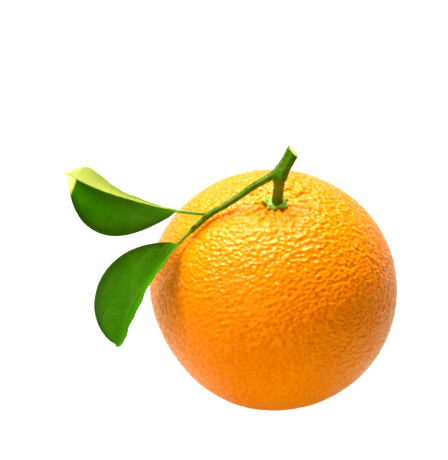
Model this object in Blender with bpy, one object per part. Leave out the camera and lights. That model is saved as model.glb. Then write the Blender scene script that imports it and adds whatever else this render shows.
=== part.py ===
"""A picked orange standing on its flat blossom end, with its calyx, a cut stem, a side twig,
two buds and two folded leaves.

Metres, +Z up. The origin is the centre of the flat spot that the fruit rests on. The stem
rises from the top, and the twig and its leaves reach out to -X.
"""

from math import cos, exp, pi, radians, sin, sqrt

import bmesh
import bpy
from mathutils import Matrix, Vector
from mathutils.geometry import intersect_point_line

# Clearance kept between neighbouring pieces
GAP = 0.0003
STAND_OFF_STEP = 0.00005  # fineness of the search for a start that keeps the clearance

# Fruit
FRUIT_WIDTH = 0.0800
FRUIT_HEIGHT = 0.0752  # pole to pole, before the dimple and the flat spot
REST_DIAMETER = 0.0230
AXIS_OFFSET = 0.0004  # the stem stands this far to +X of the fruit's middle
DIMPLE_DEPTH = 0.0022
DIMPLE_RADIUS = 0.0070
FLAT_SIDE_DEPTH = 0.0019  # one side grew a little flatter than the rest
FLAT_SIDE_AZIMUTH = radians(202)
FLAT_SIDE_POLAR = radians(113)
FLAT_SIDE_BREADTH = radians(32)
FRUIT_SEGMENTS = 56
FRUIT_RINGS = 38

# Calyx
CALYX_DIAMETER = 0.0094  # across the tips of the lobes
CALYX_THICKNESS = 0.0008
CALYX_LOBES = 5
CALYX_BACK_SHARE = 0.72  # the lobes on the +Y side are this much shorter
CALYX_NOTCH = 0.24  # depth of the notches between lobes, as a share of the radius
CALYX_EDGE = 1.6  # how quickly the star reaches its full thickness inside its edge
CALYX_SEAT = 1.5  # width of the flat seat under the stem, as a share of the pedicel

# Stem: an upright pedicel, a swollen node, then the cut end leaning to +X
PEDICEL_DIAMETER = 0.0033
PEDICEL_LENGTH = 0.0095
PEDICEL_OFFSET = 0.0006  # the stem stands a little to the +X side of the calyx
PEDICEL_DIRECTION = Vector((0.07, 0.0, 1.0)).normalized()
PEDICEL_FLARE = 1.08  # the pedicel widens a little below the node
NODE_DIAMETER = 0.0049
CUT_END_DIAMETER = 0.0041
CUT_END_LENGTH = 0.0085
CUT_END_DIRECTION = Vector((0.44, 0.30, 0.83)).normalized()
CUT_FACE_NORMAL = Vector((0.72, 0.21, 0.66)).normalized()
CUT_END_FLARE = 1.03  # and the cut end a little above it
STEM_STEPS = 3  # stretches of the stem between neighbouring points
STEM_SHARES = (0.35, 0.70)  # where each half of the stem has its two points between the ends

# Side twig: its points lie over the peel, each as azimuth, polar angle and height above the peel
TWIG_START_DIAMETER = 0.0023
TWIG_END_DIAMETER = 0.0015
TWIG_RISE = 0.0020  # the twig leaves this far above the node
TWIG_ROUTE = [
    (189, 10.5, 0.0062),
    (191, 15.5, 0.0034),
    (194, 22.0, 0.0023),
    (194, 29.5, 0.0018),
    (198, 39.5, 0.0018),
]
TWIG_STEPS = 4  # stretches of the twig between neighbouring points
UPPER_LEAF_NODE = 3  # the point of TWIG_ROUTE that bears the upper leaf

# Buds in the axils of the two leaves
BUD_LENGTH = 0.0019
BUD_WIDTH = 0.0010
BUD_TAPER = 0.45  # how much narrower the tip is than the base
BUD_TURN = radians(-20)  # turned round the twig, from straight over the peel

# Leaves
BLADE_THICKNESS = 0.0006
MARGIN_THICKNESS = 0.0003
PETIOLE_DIAMETER = 0.0011
BLADE_STATIONS = 22
PETIOLE_STATIONS = 4
HALF_STEPS = 5  # steps across each half of a blade

UPPER_LEAF = {
    "petiole": 0.0062,
    "blade": 0.0390,
    "half_width": 0.0131,
    "widest_at": 0.56,
    "base_fullness": 1.35,
    "headings": [
        Vector((-0.99, 0.10, -0.04)),
        Vector((-0.96, 0.19, 0.13)),
        Vector((-0.95, 0.24, 0.17)),
        Vector((-0.86, 0.30, 0.42)),
    ],
    "broad_half": Vector((0.0, -0.63, -0.78)),
    "fold": radians(92),
    "twist": radians(74),
    "curl": 0.06,
}
LOWER_LEAF = {
    "petiole": 0.0050,
    "blade": 0.0388,
    "half_width": 0.0126,
    "widest_at": 0.57,
    "base_fullness": 0.9,
    "headings": [
        Vector((-0.70, -0.44, -0.56)),
        Vector((-0.66, -0.46, -0.59)),
        Vector((-0.40, -0.45, -0.79)),
        Vector((-0.22, -0.35, -0.90)),
    ],
    "broad_half": Vector((-0.90, 0.26, 0.34)),
    "fold": radians(-92),
    "twist": radians(-12),
    "curl": 0.12,
}
TWIST_SHARPNESS = 4  # the twist gathers towards the tip
RING_SPREAD = 0.96  # share of the half turn that a petiole ring's upper points take up


def clear_scene():
    for item in list(bpy.data.objects):
        bpy.data.objects.remove(item, do_unlink=True)


def make_collection(name):
    collection = bpy.data.collections.new(name)
    bpy.context.scene.collection.children.link(collection)
    return collection


def make_material(name, colour, roughness):
    material = bpy.data.materials.new(name)
    material.use_nodes = True
    shader = material.node_tree.nodes["Principled BSDF"]
    shader.inputs["Base Color"].default_value = (*colour, 1.0)
    shader.inputs["Roughness"].default_value = roughness
    shader.inputs["Metallic"].default_value = 0.0
    return material


def add_piece(bm, name, material, collection):
    """Turns a bmesh into a smooth-shaded object, with its faces pointing out."""
    bm.normal_update()
    bmesh.ops.recalc_face_normals(bm, faces=bm.faces)
    mesh = bpy.data.meshes.new(name)
    bm.to_mesh(mesh)
    bm.free()
    mesh.materials.append(material)
    mesh.shade_smooth()
    mesh.set_sharp_from_angle(angle=radians(40))
    piece = bpy.data.objects.new(name, mesh)
    collection.objects.link(piece)
    return piece


# ---- The peel's surface, which the calyx, twig and leaves follow ----

REST_RADIUS = REST_DIAMETER / 2
HALF_WIDTH = FRUIT_WIDTH / 2
HALF_HEIGHT = FRUIT_HEIGHT / 2
MIDDLE_HEIGHT = HALF_HEIGHT * sqrt(1 - (REST_RADIUS / HALF_WIDTH) ** 2)


def direction(azimuth, polar):
    return Vector((sin(polar) * cos(azimuth), sin(polar) * sin(azimuth), cos(polar)))


FLAT_SIDE = direction(FLAT_SIDE_AZIMUTH, FLAT_SIDE_POLAR)


def on_peel(way):
    """The peel's point for a unit vector: an ellipsoid with a flatter side and a stem dimple."""
    slip = AXIS_OFFSET * (way.x * way.x + way.y * way.y)
    point = Vector((HALF_WIDTH * way.x - slip, HALF_WIDTH * way.y, HALF_HEIGHT * way.z))
    point -= way * FLAT_SIDE_DEPTH * exp(-((way.angle(FLAT_SIDE) / FLAT_SIDE_BREADTH) ** 2))
    if way.z > 0:
        across = point.xy.length / DIMPLE_RADIUS
        point.z -= DIMPLE_DEPTH * exp(-across * across)
    point.z += MIDDLE_HEIGHT
    return point


def above_peel(azimuth, polar, height):
    """The point at this height over the peel, measured square to it."""
    step = radians(0.5)
    along = on_peel(direction(azimuth + step, polar)) - on_peel(direction(azimuth - step, polar))
    down = on_peel(direction(azimuth, polar + step)) - on_peel(direction(azimuth, polar - step))
    return on_peel(direction(azimuth, polar)) + down.cross(along).normalized() * height


def peel_height(x, y):
    """Height of the peel's top at a place near the stem."""
    sine = sqrt(x * x + y * y) / HALF_WIDTH
    way = Vector((x / HALF_WIDTH, y / HALF_WIDTH, sqrt(1 - sine * sine)))
    return on_peel(way).z


# ---- Shared shapes ----


def smooth_route(points, per_span):
    """Catmull-Rom curve through the points, with this many steps between neighbours."""
    ends = [points[0] * 2 - points[1]] + points + [points[-1] * 2 - points[-2]]
    route = []
    for a, b, c, d in zip(ends, ends[1:], ends[2:], ends[3:]):
        for i in range(per_span):
            t = i / per_span
            bend = (a * 2 - b * 5 + c * 4 - d) * t * t + (b * 3 - a - c * 3 + d) * t ** 3
            route.append((b * 2 + (c - a) * t + bend) / 2)
    route.append(points[-1])
    return route


def tube(name, route, diameters, sides_step):
    """A round bar along the route as a bmesh, from a bevelled curve with filled caps."""
    curve = bpy.data.curves.new(name, "CURVE")
    curve.dimensions = "3D"
    curve.bevel_depth = max(diameters) / 2
    curve.bevel_resolution = sides_step
    curve.use_fill_caps = True
    spline = curve.splines.new("POLY")
    spline.points.add(len(route) - 1)
    for place, point, diameter in zip(spline.points, route, diameters):
        place.co = (*point, 1.0)
        place.radius = diameter / max(diameters)
    guide = bpy.data.objects.new(name, curve)
    bpy.context.scene.collection.objects.link(guide)
    evaluated = guide.evaluated_get(bpy.context.evaluated_depsgraph_get())
    mesh = bpy.data.meshes.new_from_object(evaluated)
    bm = bmesh.new()
    bm.from_mesh(mesh)
    bmesh.ops.remove_doubles(bm, verts=bm.verts, dist=0.00001)
    bpy.data.objects.remove(guide, do_unlink=True)
    bpy.data.curves.remove(curve)
    bpy.data.meshes.remove(mesh)
    return bm


def cut_off(bm, point, normal):
    """Removes what lies past a plane and closes the cut with one flat face."""
    everything = list(bm.verts) + list(bm.edges) + list(bm.faces)
    cut = bmesh.ops.bisect_plane(
        bm, geom=everything, plane_co=point, plane_no=normal, clear_outer=True
    )
    edges = [item for item in cut["geom_cut"] if isinstance(item, bmesh.types.BMEdge)]
    bmesh.ops.contextual_create(bm, geom=edges)


def stand_off(root, way, radius, line, line_radius):
    """The first place along way from root where a round end clears the skin of another bar."""
    side = way.orthogonal().normalized()
    rim = [Matrix.Rotation(2 * pi * i / 12, 3, way) @ side * radius for i in range(12)]
    start = root.copy()
    while min(line_distance(start + out, line) for out in rim) < line_radius + GAP:
        start += way * STAND_OFF_STEP
    return start


def line_distance(point, line):
    """Distance from a point to a row of straight stretches."""
    nearest = []
    for one, two in zip(line, line[1:]):
        _, share = intersect_point_line(point, one, two)
        place = one.lerp(two, min(max(share, 0.0), 1.0))
        nearest.append((point - place).length)
    return min(nearest)


# ---- Pieces ----


def make_fruit(material, collection):
    bm = bmesh.new()
    bmesh.ops.create_uvsphere(
        bm, u_segments=FRUIT_SEGMENTS, v_segments=FRUIT_RINGS, radius=1.0
    )
    for vertex in bm.verts:
        vertex.co = on_peel(vertex.co.normalized())
    cut_off(bm, Vector((0, 0, 0)), Vector((0, 0, -1)))
    return add_piece(bm, "fruit", material, collection)


def calyx_radius(azimuth):
    """The star outline: round lobes with notches between them."""
    notch = (0.5 - 0.5 * cos(CALYX_LOBES * (azimuth - pi))) ** 2
    shorter = 1 - (1 - CALYX_BACK_SHARE) * max(0.0, sin(azimuth)) ** 2
    return CALYX_DIAMETER / 2 * (1 - CALYX_NOTCH * notch) * shorter


def calyx_top():
    return peel_height(0, 0) + GAP + CALYX_THICKNESS


def make_calyx(material, collection):
    """A thin star that follows the dimple, flat in the middle where the stem stands."""
    bm = bmesh.new()
    bmesh.ops.create_uvsphere(bm, u_segments=40, v_segments=12, radius=1.0)
    for vertex in bm.verts:
        way = vertex.co.copy()
        azimuth = -Vector((1, 0)).angle_signed(way.xy, 0.0)
        reach = calyx_radius(azimuth) * way.xy.length
        x, y = reach * cos(azimuth), reach * sin(azimuth)
        height = peel_height(x, y) + GAP
        if way.z > 0:
            height += CALYX_THICKNESS * min(1.0, way.z * CALYX_EDGE)
            if reach < PEDICEL_DIAMETER / 2 * CALYX_SEAT:
                height = min(height, calyx_top())
        vertex.co = (x, y, height)
    return add_piece(bm, "calyx", material, collection)


def stem_base():
    return Vector((PEDICEL_OFFSET, 0, calyx_top() + GAP))


def stem_node():
    return stem_base() + PEDICEL_DIRECTION * PEDICEL_LENGTH


def make_stem(material, collection):
    base, node = stem_base(), stem_node()
    end = node + CUT_END_DIRECTION * CUT_END_LENGTH
    below_base = base - PEDICEL_DIRECTION * PEDICEL_DIAMETER / 4
    past_end = end + CUT_END_DIRECTION * CUT_END_DIAMETER
    one, two = STEM_SHARES
    points = [
        (below_base, PEDICEL_DIAMETER),
        (base.lerp(node, one), PEDICEL_DIAMETER),
        (base.lerp(node, two), PEDICEL_DIAMETER * PEDICEL_FLARE),
        (node, NODE_DIAMETER),
        (node.lerp(end, one), CUT_END_DIAMETER * CUT_END_FLARE),
        (node.lerp(end, two), CUT_END_DIAMETER),
        (past_end, CUT_END_DIAMETER),
    ]
    route = smooth_route([point for point, _ in points], STEM_STEPS)
    diameters = spread([diameter for _, diameter in points], STEM_STEPS)
    bm = tube("fruit_stem", route, diameters, 4)
    cut_off(bm, end, CUT_FACE_NORMAL)
    cut_off(bm, base, Vector((0, 0, -1)))
    return add_piece(bm, "fruit_stem", material, collection)


def spread(values, per_span):
    """Linear steps between neighbouring values, to match smooth_route."""
    out = []
    for a, b in zip(values, values[1:]):
        out += [a + (b - a) * i / per_span for i in range(per_span)]
    return out + [values[-1]]


def twig_points():
    """The twig's middle line: from the stem's node, then over the fruit's shoulder."""
    over = [above_peel(radians(az), radians(po), height) for az, po, height in TWIG_ROUTE]
    root = stem_node() + CUT_END_DIRECTION * TWIG_RISE
    way = (over[0] - root).normalized()
    stem = [stem_base(), stem_node(), stem_node() + CUT_END_DIRECTION * CUT_END_LENGTH]
    start = stand_off(root, way, TWIG_START_DIAMETER / 2, stem, NODE_DIAMETER / 2)
    return [start] + over


def twig_diameter(index):
    share = index / len(TWIG_ROUTE)
    return TWIG_START_DIAMETER + (TWIG_END_DIAMETER - TWIG_START_DIAMETER) * share


def make_twig(material, collection):
    points = twig_points()
    route = smooth_route(points, TWIG_STEPS)
    diameters = spread([twig_diameter(i) for i in range(len(points))], TWIG_STEPS)
    bm = tube("side_twig", route, diameters, 3)
    return add_piece(bm, "side_twig", material, collection)


def upper_petiole_start():
    points = twig_points()
    at = UPPER_LEAF_NODE + 1
    way = leaf_heading(UPPER_LEAF, 0.0)
    twig = smooth_route(points, TWIG_STEPS)
    return stand_off(points[at], way, PETIOLE_DIAMETER / 2, twig, twig_diameter(at) / 2)


def lower_petiole_start():
    points = twig_points()
    way = (points[-1] - points[-2]).normalized()
    lean = leaf_heading(LOWER_LEAF, 0.0)
    tilt = sqrt(max(0.0, 1 - way.dot(lean) ** 2))
    return points[-1] + way * (GAP + PETIOLE_DIAMETER / 2 * tilt)


def bud_seat(at, way):
    """A bud's base beside the twig, a clearance off its skin, at one of the twig's points."""
    place = twig_points()[at]
    lift = place - Vector((0, 0, MIDDLE_HEIGHT))
    out = (lift - way * lift.dot(way)).normalized()
    out = Matrix.Rotation(BUD_TURN, 3, way) @ out
    return place + out * (twig_diameter(at) / 2 + GAP + BUD_WIDTH / 2)


def upper_bud_pose():
    """In the angle between the upper leaf's petiole and the twig, where it clears the petiole."""
    points = twig_points()
    at = UPPER_LEAF_NODE + 1
    way = (points[at + 1] - points[at]).normalized()
    petiole = [points[at], points[at] + leaf_heading(UPPER_LEAF, 0.0) * UPPER_LEAF["petiole"]]
    seat = bud_seat(at, way) + way * BUD_LENGTH / 2
    return stand_off(seat, way, BUD_WIDTH / 2, petiole, PETIOLE_DIAMETER / 2), way


def lower_bud_pose():
    """Along the twig's last stretch, over the lower leaf's petiole."""
    points = twig_points()
    at = len(points) - 1
    way = (points[at] - points[at - 1]).normalized()
    return bud_seat(at, way) - way * BUD_LENGTH, way


def make_bud(name, pose, material, collection):
    """A small bud that points along the twig, narrower at its tip."""
    base, way = pose
    turn = way.to_track_quat("Z", "Y").to_matrix()
    bm = bmesh.new()
    bmesh.ops.create_uvsphere(bm, u_segments=12, v_segments=8, radius=1.0)
    for vertex in bm.verts:
        x, y, z = vertex.co
        width = BUD_WIDTH / 2 * (1 - BUD_TAPER * (1 + z) / 2)
        vertex.co = base + turn @ Vector((x * width, y * width, (1 + z) * BUD_LENGTH / 2))
    return add_piece(bm, name, material, collection)


def leaf_heading(spec, share):
    """The midrib's direction at a share of the leaf's whole length."""
    ways = [way.normalized() for way in spec["headings"]]
    place = min(max(share, 0.0), 1.0) * (len(ways) - 1)
    at = min(int(place), len(ways) - 2)
    return ways[at].lerp(ways[at + 1], place - at).normalized()


def leaf_midrib(spec, start):
    """Stations along petiole and blade: distance past the blade's base, point and heading."""
    whole = spec["petiole"] + spec["blade"]
    stations = [-spec["petiole"] * (1 - i / PETIOLE_STATIONS) for i in range(PETIOLE_STATIONS)]
    stations += [spec["blade"] * i / BLADE_STATIONS for i in range(BLADE_STATIONS + 1)]
    midrib = []
    point, before = start.copy(), stations[0]
    for station in stations:
        halfway = (station + before) / 2
        point = point + leaf_heading(spec, (halfway + spec["petiole"]) / whole) * (station - before)
        heading = leaf_heading(spec, (station + spec["petiole"]) / whole)
        midrib.append((station, point.copy(), heading))
        before = station
    return midrib


def blade_half_width(spec, share):
    """Half the blade's width at a share of its length, full towards the tip or the base."""
    peak = spec["widest_at"]
    base = spec["base_fullness"]
    tip = base * (1 - peak) / peak
    if share <= 0 or share >= 1:
        return 0.0
    return spec["half_width"] * (share / peak) ** base * ((1 - share) / (1 - peak)) ** tip


def leaf_section(spec, station, point, heading):
    """One closed ring round the leaf: the upper face from margin to margin, then the lower one."""
    share = station / spec["blade"]
    width = max(PETIOLE_DIAMETER / 2, blade_half_width(spec, share))
    flatness = min(1.0, max(0.0, (width - PETIOLE_DIAMETER / 2) / (PETIOLE_DIAMETER * 2)))
    twist = Matrix.Rotation(spec["twist"] * max(0.0, share) ** TWIST_SHARPNESS, 3, heading)
    broad = twist @ (spec["broad_half"] - heading * spec["broad_half"].dot(heading)).normalized()
    halves = [broad, Matrix.Rotation(spec["fold"], 3, heading) @ broad]
    normals = [heading.cross(halves[0]), halves[1].cross(heading)]
    if normals[0].dot(halves[1]) < 0:
        normals = [-normals[0], -normals[1]]
    middle_normal = (normals[0] + normals[1]).normalized()
    middle_across = middle_normal.cross(heading).normalized()
    if middle_across.dot(halves[0]) < 0:
        middle_across = -middle_across
    upper, lower = [], []
    for step in range(-HALF_STEPS, HALF_STEPS + 1):
        part = abs(step) / HALF_STEPS
        which = 0 if step > 0 else 1
        away = part * width
        normal = middle_normal if step == 0 else normals[which]
        rib = (BLADE_THICKNESS - MARGIN_THICKNESS) / 2 * (1 - part)
        half_thick = MARGIN_THICKNESS / 2 + rib
        bow = spec["curl"] * away * away / spec["half_width"]
        flat = point + halves[which] * away - normals[which] * bow
        angle = pi / 2 * RING_SPREAD * step / HALF_STEPS
        for side, ring in ((1, upper), (-1, lower)):
            turned = middle_across * sin(angle) + middle_normal * cos(angle) * side
            round_point = point + turned * PETIOLE_DIAMETER / 2
            blade_point = flat + normal * half_thick * side
            ring.append(round_point.lerp(blade_point, flatness))
    return upper + lower[::-1]


def make_leaf(name, spec, start, material, collection):
    """Lofts the leaf's rings: round at the petiole, a folded blade beyond it."""
    bm = bmesh.new()
    rings = []
    for station, point, heading in leaf_midrib(spec, start):
        ring = leaf_section(spec, station, point, heading)
        rings.append([bm.verts.new(place) for place in ring])
    for one, two in zip(rings, rings[1:]):
        for i in range(len(one)):
            k = (i + 1) % len(one)
            bm.faces.new((one[i], one[k], two[k], two[i]))
    bm.faces.new(rings[0][::-1])
    bm.faces.new(rings[-1])
    return add_piece(bm, name, material, collection)


def build():
    clear_scene()
    orange = make_collection("orange")
    peel = make_material("peel", (0.93, 0.28, 0.01), 0.38)
    calyx_green = make_material("calyx_green", (0.33, 0.45, 0.10), 0.6)
    bark = make_material("green_bark", (0.12, 0.27, 0.03), 0.5)
    leaf_green = make_material("leaf_green", (0.05, 0.22, 0.01), 0.35)

    make_fruit(peel, orange)
    make_calyx(calyx_green, orange)
    make_stem(bark, orange)
    make_twig(bark, orange)
    make_bud("upper_bud", upper_bud_pose(), bark, orange)
    make_bud("lower_bud", lower_bud_pose(), bark, orange)
    make_leaf("upper_leaf", UPPER_LEAF, upper_petiole_start(), leaf_green, orange)
    make_leaf("lower_leaf", LOWER_LEAF, lower_petiole_start(), leaf_green, orange)


build()
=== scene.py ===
"""Looks of a picked orange: pebbled peel, calyx, ridged stem with a cut end, twig, buds, leaves.

Metres, +Z up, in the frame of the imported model. Sizes and places follow the same values as the
solids, so every piece lies where its solid is.
"""

from math import cos, exp, pi, radians, sin, sqrt

import bpy
import numpy as np
from mathutils import Matrix, Vector, kdtree, noise
from mathutils.geometry import intersect_point_line


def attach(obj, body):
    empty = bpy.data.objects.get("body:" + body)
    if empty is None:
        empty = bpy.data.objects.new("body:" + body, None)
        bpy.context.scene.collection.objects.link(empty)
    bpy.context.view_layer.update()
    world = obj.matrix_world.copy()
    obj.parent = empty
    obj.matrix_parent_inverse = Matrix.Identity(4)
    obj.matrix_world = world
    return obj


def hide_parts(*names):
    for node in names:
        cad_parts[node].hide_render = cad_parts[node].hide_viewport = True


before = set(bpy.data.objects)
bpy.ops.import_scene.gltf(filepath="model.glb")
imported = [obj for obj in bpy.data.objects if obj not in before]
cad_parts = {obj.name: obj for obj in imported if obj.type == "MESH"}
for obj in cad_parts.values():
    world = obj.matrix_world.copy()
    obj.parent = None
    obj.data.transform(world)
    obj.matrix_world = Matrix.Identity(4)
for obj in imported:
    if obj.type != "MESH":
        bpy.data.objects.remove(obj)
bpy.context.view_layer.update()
MM = 0.001

# ---- Sizes shared with the solids ----

GAP = 0.3 * MM
STAND_OFF_STEP = 0.05 * MM
FRUIT_WIDTH = 80.0 * MM
FRUIT_HEIGHT = 75.2 * MM
REST_DIAMETER = 23.0 * MM
AXIS_OFFSET = 0.4 * MM
DIMPLE_DEPTH = 2.2 * MM
DIMPLE_RADIUS = 7.0 * MM
FLAT_SIDE_DEPTH = 1.9 * MM
FLAT_SIDE_AZIMUTH = radians(202)
FLAT_SIDE_POLAR = radians(113)
FLAT_SIDE_BREADTH = radians(32)
CALYX_DIAMETER = 9.4 * MM
CALYX_THICKNESS = 0.8 * MM
CALYX_LOBES = 5
CALYX_BACK_SHARE = 0.72
CALYX_NOTCH = 0.24
PEDICEL_DIAMETER = 3.3 * MM
PEDICEL_LENGTH = 9.5 * MM
PEDICEL_OFFSET = 0.6 * MM
PEDICEL_DIRECTION = Vector((0.07, 0.0, 1.0)).normalized()
PEDICEL_FLARE = 1.08
NODE_DIAMETER = 4.9 * MM
CUT_END_DIAMETER = 4.1 * MM
CUT_END_LENGTH = 8.5 * MM
CUT_END_DIRECTION = Vector((0.44, 0.30, 0.83)).normalized()
CUT_FACE_NORMAL = Vector((0.72, 0.21, 0.66)).normalized()
TWIG_START_DIAMETER = 2.3 * MM
TWIG_END_DIAMETER = 1.5 * MM
TWIG_RISE = 2.0 * MM
TWIG_ROUTE = [
    (189, 10.5, 6.2 * MM),
    (191, 15.5, 3.4 * MM),
    (194, 22.0, 2.3 * MM),
    (194, 29.5, 1.8 * MM),
    (198, 39.5, 1.8 * MM),
]
UPPER_LEAF_NODE = 3
BUD_LENGTH = 1.9 * MM
BUD_WIDTH = 1.0 * MM
BUD_TURN = radians(-20)
PETIOLE_DIAMETER = 1.1 * MM
TWIST_SHARPNESS = 4

UPPER_LEAF = {
    "petiole": 6.2 * MM,
    "blade": 39.0 * MM,
    "half_width": 13.1 * MM,
    "widest_at": 0.56,
    "base_fullness": 1.35,
    "headings": [
        Vector((-0.99, 0.10, -0.04)),
        Vector((-0.96, 0.19, 0.13)),
        Vector((-0.95, 0.24, 0.17)),
        Vector((-0.86, 0.30, 0.42)),
    ],
    "broad_half": Vector((0.0, -0.63, -0.78)),
    "fold": radians(92),
    "twist": radians(74),
    "curl": 0.06,
    "wave": 0.12 * MM,
    "seed": 3.0,
    "painted_glow_half": 1.0,
}
LOWER_LEAF = {
    "petiole": 5.0 * MM,
    "blade": 38.8 * MM,
    "half_width": 12.6 * MM,
    "widest_at": 0.57,
    "base_fullness": 0.9,
    "headings": [
        Vector((-0.70, -0.44, -0.56)),
        Vector((-0.66, -0.46, -0.59)),
        Vector((-0.40, -0.45, -0.79)),
        Vector((-0.22, -0.35, -0.90)),
    ],
    "broad_half": Vector((-0.90, 0.26, 0.34)),
    "fold": radians(-92),
    "twist": radians(-12),
    "curl": 0.12,
    "wave": 0.18 * MM,
    "seed": 11.0,
    "painted_glow_half": 0.0,
}

HALF_WIDTH = FRUIT_WIDTH / 2
HALF_HEIGHT = FRUIT_HEIGHT / 2
MIDDLE_HEIGHT = HALF_HEIGHT * sqrt(1 - (REST_DIAMETER / 2 / HALF_WIDTH) ** 2)


# ---- The peel's surface ----


def direction(azimuth, polar):
    return Vector((sin(polar) * cos(azimuth), sin(polar) * sin(azimuth), cos(polar)))


FLAT_SIDE = direction(FLAT_SIDE_AZIMUTH, FLAT_SIDE_POLAR)


def peel_points(ways):
    """The smooth peel's points for rows of unit vectors."""
    x, y, z = ways.T
    slip = AXIS_OFFSET * (x * x + y * y)
    points = np.stack([HALF_WIDTH * x - slip, HALF_WIDTH * y, HALF_HEIGHT * z], axis=1)
    away = np.arccos(np.clip(ways @ np.array(FLAT_SIDE), -1, 1))
    flat = FLAT_SIDE_DEPTH * np.exp(-((away / FLAT_SIDE_BREADTH) ** 2))
    points -= ways * flat[:, None]
    across = np.hypot(points[:, 0], points[:, 1]) / DIMPLE_RADIUS
    points[:, 2] -= np.where(z > 0, DIMPLE_DEPTH * np.exp(-across * across), 0)
    points[:, 2] += MIDDLE_HEIGHT
    return points


def on_peel(way):
    return Vector(peel_points(np.array([way]))[0])


def above_peel(azimuth, polar, height):
    step = radians(0.5)
    along = on_peel(direction(azimuth + step, polar)) - on_peel(direction(azimuth - step, polar))
    down = on_peel(direction(azimuth, polar + step)) - on_peel(direction(azimuth, polar - step))
    return on_peel(direction(azimuth, polar)) + down.cross(along).normalized() * height


def peel_height(x, y):
    sine = sqrt(x * x + y * y) / HALF_WIDTH
    return on_peel(Vector((x / HALF_WIDTH, y / HALF_WIDTH, sqrt(1 - sine * sine)))).z


# ---- Shared shapes ----


def smooth_route(points, per_span):
    """Catmull-Rom curve through the points, with this many steps between neighbours."""
    ends = [points[0] * 2 - points[1]] + points + [points[-1] * 2 - points[-2]]
    route = []
    for a, b, c, d in zip(ends, ends[1:], ends[2:], ends[3:]):
        for i in range(per_span):
            t = i / per_span
            bend = (a * 2 - b * 5 + c * 4 - d) * t * t + (b * 3 - a - c * 3 + d) * t**3
            route.append((b * 2 + (c - a) * t + bend) / 2)
    route.append(points[-1])
    return route


def spread(values, per_span):
    """Linear steps between neighbouring values, to match smooth_route."""
    out = []
    for a, b in zip(values, values[1:]):
        out += [a + (b - a) * i / per_span for i in range(per_span)]
    return out + [values[-1]]


def stand_off(root, way, radius, line, line_radius):
    """The first place along way from root where a round end clears the skin of another bar."""
    side = way.orthogonal().normalized()
    rim = [Matrix.Rotation(2 * pi * i / 12, 3, way) @ side * radius for i in range(12)]
    start = root.copy()
    while min(line_distance(start + out, line) for out in rim) < line_radius + GAP:
        start += way * STAND_OFF_STEP
    return start


def line_distance(point, line):
    nearest = []
    for one, two in zip(line, line[1:]):
        _, share = intersect_point_line(point, one, two)
        place = one.lerp(two, min(max(share, 0.0), 1.0))
        nearest.append((point - place).length)
    return min(nearest)


def grain(point, scale, seed=0.0):
    """Smooth noise from -1 to 1 at a point, with features of about this size."""
    return noise.noise(Vector(point) / scale + Vector((seed, seed * 0.7, -seed)))


def add_mesh(name, points, faces, material, node, floats=None, vectors=None):
    """Makes a smooth piece that stands for a solid, with named attributes on its points."""
    mesh = bpy.data.meshes.new(name)
    mesh.from_pydata([tuple(p) for p in points], [], faces)
    for key, values in (floats or {}).items():
        made = mesh.attributes.new(key, "FLOAT", "POINT")
        made.data.foreach_set("value", np.asarray(values, np.float32))
    for key, values in (vectors or {}).items():
        made = mesh.attributes.new(key, "FLOAT_VECTOR", "POINT")
        made.data.foreach_set("vector", np.asarray(values, np.float32).ravel())
    mesh.validate()
    mesh.materials.append(material)
    mesh.shade_smooth()
    piece = bpy.data.objects.new(name, mesh)
    bpy.context.scene.collection.objects.link(piece)
    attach(piece, "root")
    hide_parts(node)
    return piece


def ring_faces(ring_count, size, flip=False):
    """Quads between neighbouring closed rings of the same size."""
    faces = []
    for r in range(ring_count - 1):
        for i in range(size):
            k = (i + 1) % size
            quad = (r * size + i, r * size + k, (r + 1) * size + k, (r + 1) * size + i)
            faces.append(quad[::-1] if flip else quad)
    return faces


def carried_frames(route):
    """A heading and two sides for each point of a route, turned as little as possible."""
    frames = []
    side = None
    for i, point in enumerate(route):
        before, after = route[max(i - 1, 0)], route[min(i + 1, len(route) - 1)]
        heading = (after - before).normalized()
        if side is None:
            side = heading.orthogonal()
        side = (side - heading * side.dot(heading)).normalized()
        frames.append((point, heading, side, heading.cross(side)))
    return frames


# ---- Materials ----


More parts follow.
